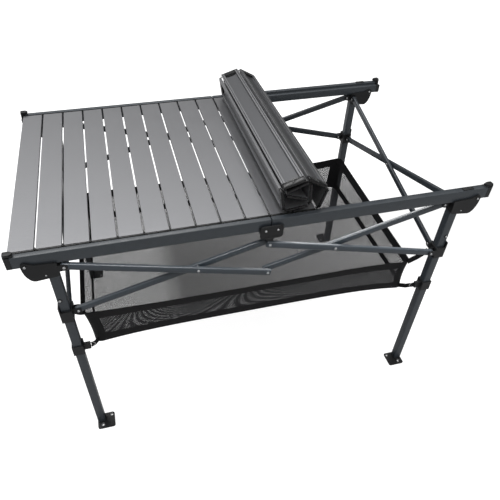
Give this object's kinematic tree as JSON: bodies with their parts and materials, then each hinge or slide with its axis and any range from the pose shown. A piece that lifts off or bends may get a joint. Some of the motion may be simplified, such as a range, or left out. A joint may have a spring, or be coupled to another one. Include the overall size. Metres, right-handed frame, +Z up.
{
  "type": "folding camp table",
  "caption": "Folding camp table with a roll-top slat deck, scissor-linked square legs, folding side rails and a hanging net basket.",
  "frame": {"origin": "on the floor under the middle of the table", "axes": "+X along the long side, towards the open half of the deck, +Y from the near long side to the far one, +Z up"},
  "size_m": [1.2, 0.724, 0.809],
  "materials": {
    "frame_paint": "dark slate-grey powder coat, fine satin grain",
    "slat_aluminium": "satin anodised, lengthwise brushing",
    "black_plastic": "black injection-moulded plastic, light satin",
    "basket_fabric": "black open net with woven black tape edges"
  },
  "bodies": {
    "leg_near_left_body": {"leg_near_left": "frame_paint", "foot_near_left": "black_plastic", "top_bracket_near_left": "black_plastic"},
    "long_bar_near_left_high_body": {"long_bar_near_left_high": "frame_paint"},
    "long_bar_near_left_low_body": {"long_bar_near_left_low": "frame_paint"},
    "slider_near_left_body": {"slider_near_left": "black_plastic"},
    "lower_collar_near_left_body": {"lower_collar_near_left": "black_plastic", "net_basket": "basket_fabric"},
    "snap_button_near_left_body": {"snap_button_near_left": "black_plastic"},
    "rail_near_left_body": {"rail_near_left": "frame_paint", "end_cap_near_left": "black_plastic"},
    "leg_near_right_body": {"leg_near_right": "frame_paint", "foot_near_right": "black_plastic", "top_bracket_near_right": "black_plastic"},
    "long_bar_near_right_high_body": {"long_bar_near_right_high": "frame_paint"},
    "long_bar_near_right_low_body": {"long_bar_near_right_low": "frame_paint"},
    "slider_near_right_body": {"slider_near_right": "black_plastic"},
    "lower_collar_near_right_body": {"lower_collar_near_right": "black_plastic"},
    "snap_button_near_right_body": {"snap_button_near_right": "black_plastic"},
    "rail_near_right_body": {"rail_near_right": "frame_paint", "end_cap_near_right": "black_plastic"},
    "centre_bracket_near_body": {"centre_bracket_near": "black_plastic"},
    "leg_far_left_body": {"leg_far_left": "frame_paint", "foot_far_left": "black_plastic", "top_bracket_far_left": "black_plastic"},
    "long_bar_far_left_high_body": {"long_bar_far_left_high": "frame_paint"},
    "long_bar_far_left_low_body": {"long_bar_far_left_low": "frame_paint"},
    "slider_far_left_body": {"slider_far_left": "black_plastic"},
    "lower_collar_far_left_body": {"lower_collar_far_left": "black_plastic"},
    "snap_button_far_left_body": {"snap_button_far_left": "black_plastic"},
    "rail_far_left_body": {"rail_far_left": "frame_paint", "end_cap_far_left": "black_plastic"},
    "leg_far_right_body": {"leg_far_right": "frame_paint", "foot_far_right": "black_plastic", "top_bracket_far_right": "black_plastic"},
    "long_bar_far_right_high_body": {"long_bar_far_right_high": "frame_paint"},
    "long_bar_far_right_low_body": {"long_bar_far_right_low": "frame_paint"},
    "slider_far_right_body": {"slider_far_right": "black_plastic"},
    "lower_collar_far_right_body": {"lower_collar_far_right": "black_plastic"},
    "snap_button_far_right_body": {"snap_button_far_right": "black_plastic"},
    "rail_far_right_body": {"rail_far_right": "frame_paint", "end_cap_far_right": "black_plastic"},
    "centre_bracket_far_body": {"centre_bracket_far": "black_plastic"},
    "short_bar_left_near_high_body": {"short_bar_left_near_high": "frame_paint"},
    "short_bar_left_far_high_body": {"short_bar_left_far_high": "frame_paint"},
    "short_bar_right_near_high_body": {"short_bar_right_near_high": "frame_paint"},
    "short_bar_right_far_high_body": {"short_bar_right_far_high": "frame_paint"},
    "deck_body": {"slats_01_to_03": "slat_aluminium", "slats_04_to_06": "slat_aluminium", "slats_07_to_09": "slat_aluminium", "slats_10_to_11": "slat_aluminium", "slat_12": "slat_aluminium"},
    "slat_13_body": {"slat_13": "slat_aluminium"},
    "slat_14_body": {"slat_14": "slat_aluminium"},
    "slat_15_body": {"slat_15": "slat_aluminium"},
    "slat_16_body": {"slat_16": "slat_aluminium"},
    "slat_17_body": {"slat_17": "slat_aluminium"},
    "slat_18_body": {"slat_18": "slat_aluminium"},
    "slat_19_body": {"slat_19": "slat_aluminium"},
    "slat_20_body": {"slat_20": "slat_aluminium"}
  },
  "joints": [
    {"name": "frame_fold", "type": "hinge", "parent": "leg_near_left_body", "child": "long_bar_near_left_high_body", "pos_m": [-0.483, -0.336, 0.672], "axis": [0, 1, 0], "range_deg": [0, 53], "deforming": ["net_basket"]},
    {"name": "near_left_crossing", "type": "hinge", "parent": "long_bar_near_left_high_body", "child": "long_bar_near_left_low_body", "pos_m": [-0.181, -0.32875, 0.5915], "axis": [0, 1, 0], "range_deg": [-106, 0]},
    {"name": "near_left_slider_pivot", "type": "hinge", "parent": "long_bar_near_left_low_body", "child": "slider_near_left_body", "pos_m": [-0.483, -0.3215, 0.511], "axis": [0, 1, 0], "range_deg": [0, 53]},
    {"name": "near_centre_pivot", "type": "hinge", "parent": "long_bar_near_left_high_body", "child": "long_bar_near_right_high_body", "pos_m": [0, -0.32875, 0.54325], "axis": [0, 1, 0], "range_deg": [-106, 0]},
    {"name": "near_right_crossing", "type": "hinge", "parent": "long_bar_near_right_high_body", "child": "long_bar_near_right_low_body", "pos_m": [0.181, -0.32875, 0.5915], "axis": [0, 1, 0], "range_deg": [0, 106]},
    {"name": "near_right_high_pivot", "type": "hinge", "parent": "long_bar_near_right_high_body", "child": "leg_near_right_body", "pos_m": [0.483, -0.3215, 0.672], "axis": [0, 1, 0], "range_deg": [0, 53]},
    {"name": "near_right_slider_pivot", "type": "hinge", "parent": "long_bar_near_right_low_body", "child": "slider_near_right_body", "pos_m": [0.483, -0.336, 0.511], "axis": [0, 1, 0], "range_deg": [-53, 0]},
    {"name": "left_near_high_pivot", "type": "hinge", "parent": "leg_near_left_body", "child": "short_bar_left_near_high_body", "pos_m": [-0.51425, -0.302, 0.672], "axis": [-1, 0, 0], "range_deg": [0, 53]},
    {"name": "left_crossing", "type": "hinge", "parent": "short_bar_left_near_high_body", "child": "short_bar_left_far_high_body", "pos_m": [-0.50875, 0, 0.5915], "axis": [-1, 0, 0], "range_deg": [-106, 0]},
    {"name": "left_far_high_pivot", "type": "hinge", "parent": "short_bar_left_far_high_body", "child": "leg_far_left_body", "pos_m": [-0.50325, 0.302, 0.672], "axis": [-1, 0, 0], "range_deg": [0, 53]},
    {"name": "left_far_slider_pivot", "type": "hinge", "parent": "short_bar_left_near_high_body", "child": "slider_far_left_body", "pos_m": [-0.51425, 0.302, 0.511], "axis": [-1, 0, 0], "range_deg": [-53, 0]},
    {"name": "far_left_high_pivot", "type": "hinge", "parent": "leg_far_left_body", "child": "long_bar_far_left_high_body", "pos_m": [-0.483, 0.336, 0.672], "axis": [0, 1, 0], "range_deg": [0, 53]},
    {"name": "far_left_crossing", "type": "hinge", "parent": "long_bar_far_left_high_body", "child": "long_bar_far_left_low_body", "pos_m": [-0.181, 0.32875, 0.5915], "axis": [0, 1, 0], "range_deg": [-106, 0]},
    {"name": "far_centre_pivot", "type": "hinge", "parent": "long_bar_far_left_high_body", "child": "long_bar_far_right_high_body", "pos_m": [0, 0.32875, 0.54325], "axis": [0, 1, 0], "range_deg": [-106, 0]},
    {"name": "far_right_crossing", "type": "hinge", "parent": "long_bar_far_right_high_body", "child": "long_bar_far_right_low_body", "pos_m": [0.181, 0.32875, 0.5915], "axis": [0, 1, 0], "range_deg": [0, 106]},
    {"name": "far_right_high_pivot", "type": "hinge", "parent": "long_bar_far_right_high_body", "child": "leg_far_right_body", "pos_m": [0.483, 0.3215, 0.672], "axis": [0, 1, 0], "range_deg": [0, 53]},
    {"name": "far_right_slider_pivot", "type": "hinge", "parent": "long_bar_far_right_low_body", "child": "slider_far_right_body", "pos_m": [0.483, 0.336, 0.511], "axis": [0, 1, 0], "range_deg": [-53, 0]},
    {"name": "right_near_high_pivot", "type": "hinge", "parent": "leg_near_right_body", "child": "short_bar_right_near_high_body", "pos_m": [0.51425, -0.302, 0.672], "axis": [-1, 0, 0], "range_deg": [0, 53]},
    {"name": "right_crossing", "type": "hinge", "parent": "short_bar_right_near_high_body", "child": "short_bar_right_far_high_body", "pos_m": [0.50875, 0, 0.5915], "axis": [-1, 0, 0], "range_deg": [-106, 0]},
    {"name": "near_left_rail_pivot", "type": "hinge", "parent": "leg_near_left_body", "child": "rail_near_left_body", "pos_m": [-0.562, -0.3265, 0.691], "axis": [0, -1, 0], "range_deg": [0, 62.6]},
    {"name": "near_left_rail_fold", "type": "hinge", "parent": "rail_near_left_body", "child": "centre_bracket_near_body", "pos_m": [-0.0152, -0.3265, 0.691], "axis": [0, 1, 0], "range_deg": [0, 62.6]},
    {"name": "near_right_rail_fold", "type": "hinge", "parent": "centre_bracket_near_body", "child": "rail_near_right_body", "pos_m": [0.0152, -0.3265, 0.691], "axis": [0, 1, 0], "range_deg": [0, 62.6]},
    {"name": "far_left_rail_pivot", "type": "hinge", "parent": "leg_far_left_body", "child": "rail_far_left_body", "pos_m": [-0.562, 0.3265, 0.691], "axis": [0, -1, 0], "range_deg": [0, 62.6]},
    {"name": "far_left_rail_fold", "type": "hinge", "parent": "rail_far_left_body", "child": "centre_bracket_far_body", "pos_m": [-0.0152, 0.3265, 0.691], "axis": [0, 1, 0], "range_deg": [0, 62.6]},
    {"name": "far_right_rail_fold", "type": "hinge", "parent": "centre_bracket_far_body", "child": "rail_far_right_body", "pos_m": [0.0152, 0.3265, 0.691], "axis": [0, 1, 0], "range_deg": [0, 62.6]},
    {"name": "near_left_collar_slide", "type": "slide", "parent": "leg_near_left_body", "child": "lower_collar_near_left_body", "axis": [0, 0, -1], "range_m": [0, 0.33634]},
    {"name": "near_right_collar_slide", "type": "slide", "parent": "leg_near_right_body", "child": "lower_collar_near_right_body", "axis": [0, 0, -1], "range_m": [0, 0.33634]},
    {"name": "far_left_collar_slide", "type": "slide", "parent": "leg_far_left_body", "child": "lower_collar_far_left_body", "axis": [0, 0, -1], "range_m": [0, 0.33634]},
    {"name": "far_right_collar_slide", "type": "slide", "parent": "leg_far_right_body", "child": "lower_collar_far_right_body", "axis": [0, 0, -1], "range_m": [0, 0.33634]},
    {"name": "deck_lift", "type": "slide", "parent": "leg_near_left_body", "child": "deck_body", "axis": [0, 0, 1], "range_m": [0, 1.11003]},
    {"name": "near_left_button_press", "type": "slide", "parent": "leg_near_left_body", "child": "snap_button_near_left_body", "axis": [0, 1, 0], "range_m": [0, 0.003], "stiffness_N_per_m": 800},
    {"name": "near_right_button_press", "type": "slide", "parent": "leg_near_right_body", "child": "snap_button_near_right_body", "axis": [0, 1, 0], "range_m": [0, 0.003], "stiffness_N_per_m": 800},
    {"name": "far_left_button_press", "type": "slide", "parent": "leg_far_left_body", "child": "snap_button_far_left_body", "axis": [0, -1, 0], "range_m": [0, 0.003], "stiffness_N_per_m": 800},
    {"name": "far_right_button_press", "type": "slide", "parent": "leg_far_right_body", "child": "snap_button_far_right_body", "axis": [0, -1, 0], "range_m": [0, 0.003], "stiffness_N_per_m": 800},
    {"name": "unroll", "type": "hinge", "parent": "deck_body", "child": "slat_13_body", "pos_m": [0.119, 0, 0.7175], "axis": [0, 1, 0], "range_deg": [0, 71.8]},
    {"name": "slat_14_hinge", "type": "hinge", "parent": "slat_13_body", "child": "slat_14_body", "pos_m": [0.13758, 0, 0.77402], "axis": [0, 1, 0], "range_deg": [0, 79.6]},
    {"name": "slat_15_hinge", "type": "hinge", "parent": "slat_14_body", "child": "slat_15_body", "pos_m": [0.08534, 0, 0.80251], "axis": [0, 1, 0], "range_deg": [0, 45.4]},
    {"name": "slat_16_hinge", "type": "hinge", "parent": "slat_15_body", "child": "slat_16_body", "pos_m": [0.02838, 0, 0.78531], "axis": [0, 1, 0], "range_deg": [0, 82]},
    {"name": "slat_17_hinge", "type": "hinge", "parent": "slat_16_body", "child": "slat_17_body", "pos_m": [0.03749, 0, 0.72651], "axis": [0, 1, 0], "range_deg": [0, 89.1]},
    {"name": "slat_18_hinge", "type": "hinge", "parent": "slat_17_body", "child": "slat_18_body", "pos_m": [0.09642, 0, 0.73469], "axis": [0, 1, 0], "range_deg": [0, 85.9]},
    {"name": "slat_19_hinge", "type": "hinge", "parent": "slat_18_body", "child": "slat_19_body", "pos_m": [0.09248, 0, 0.79406], "axis": [0, 1, 0], "range_deg": [0, 108.5]},
    {"name": "slat_20_hinge", "type": "hinge", "parent": "slat_19_body", "child": "slat_20_body", "pos_m": [0.03743, 0, 0.77148], "axis": [0, 1, 0], "range_deg": [0, 138.8]}
  ],
  "couplings": [
    {"joint": "near_left_crossing", "follows": "frame_fold", "ratio": -2},
    {"joint": "near_left_slider_pivot", "follows": "frame_fold", "ratio": 1},
    {"joint": "near_centre_pivot", "follows": "frame_fold", "ratio": -2},
    {"joint": "near_right_crossing", "follows": "frame_fold", "ratio": 2},
    {"joint": "near_right_high_pivot", "follows": "frame_fold", "ratio": 1},
    {"joint": "near_right_slider_pivot", "follows": "frame_fold", "ratio": -1},
    {"joint": "left_near_high_pivot", "follows": "frame_fold", "ratio": 1},
    {"joint": "left_crossing", "follows": "frame_fold", "ratio": -2},
    {"joint": "left_far_high_pivot", "follows": "frame_fold", "ratio": 1},
    {"joint": "left_far_slider_pivot", "follows": "frame_fold", "ratio": -1},
    {"joint": "far_left_high_pivot", "follows": "frame_fold", "ratio": 1},
    {"joint": "far_left_crossing", "follows": "frame_fold", "ratio": -2},
    {"joint": "far_centre_pivot", "follows": "frame_fold", "ratio": -2},
    {"joint": "far_right_crossing", "follows": "frame_fold", "ratio": 2},
    {"joint": "far_right_high_pivot", "follows": "frame_fold", "ratio": 1},
    {"joint": "far_right_slider_pivot", "follows": "frame_fold", "ratio": -1},
    {"joint": "right_near_high_pivot", "follows": "frame_fold", "ratio": 1},
    {"joint": "right_crossing", "follows": "frame_fold", "ratio": -2},
    {"joint": "near_left_rail_pivot", "follows": "frame_fold", "ratio": 1.1811},
    {"joint": "near_left_rail_fold", "follows": "frame_fold", "ratio": 1.1811},
    {"joint": "near_right_rail_fold", "follows": "frame_fold", "ratio": 1.1811},
    {"joint": "far_left_rail_pivot", "follows": "frame_fold", "ratio": 1.1811},
    {"joint": "far_left_rail_fold", "follows": "frame_fold", "ratio": 1.1811},
    {"joint": "far_right_rail_fold", "follows": "frame_fold", "ratio": 1.1811},
    {"joint": "near_left_collar_slide", "follows": "frame_fold", "m_per_rad": 0.3636},
    {"joint": "near_right_collar_slide", "follows": "frame_fold", "m_per_rad": 0.3636},
    {"joint": "far_left_collar_slide", "follows": "frame_fold", "m_per_rad": 0.3636},
    {"joint": "far_right_collar_slide", "follows": "frame_fold", "m_per_rad": 0.3636},
    {"joint": "deck_lift", "follows": "frame_fold", "m_per_rad": 1.2},
    {"joint": "slat_14_hinge", "follows": "unroll", "ratio": 1.1086},
    {"joint": "slat_15_hinge", "follows": "unroll", "ratio": 0.63231},
    {"joint": "slat_16_hinge", "follows": "unroll", "ratio": 1.1421},
    {"joint": "slat_17_hinge", "follows": "unroll", "ratio": 1.2409},
    {"joint": "slat_18_hinge", "follows": "unroll", "ratio": 1.1964},
    {"joint": "slat_19_hinge", "follows": "unroll", "ratio": 1.5111},
    {"joint": "slat_20_hinge", "follows": "unroll", "ratio": 1.9331}
  ]
}
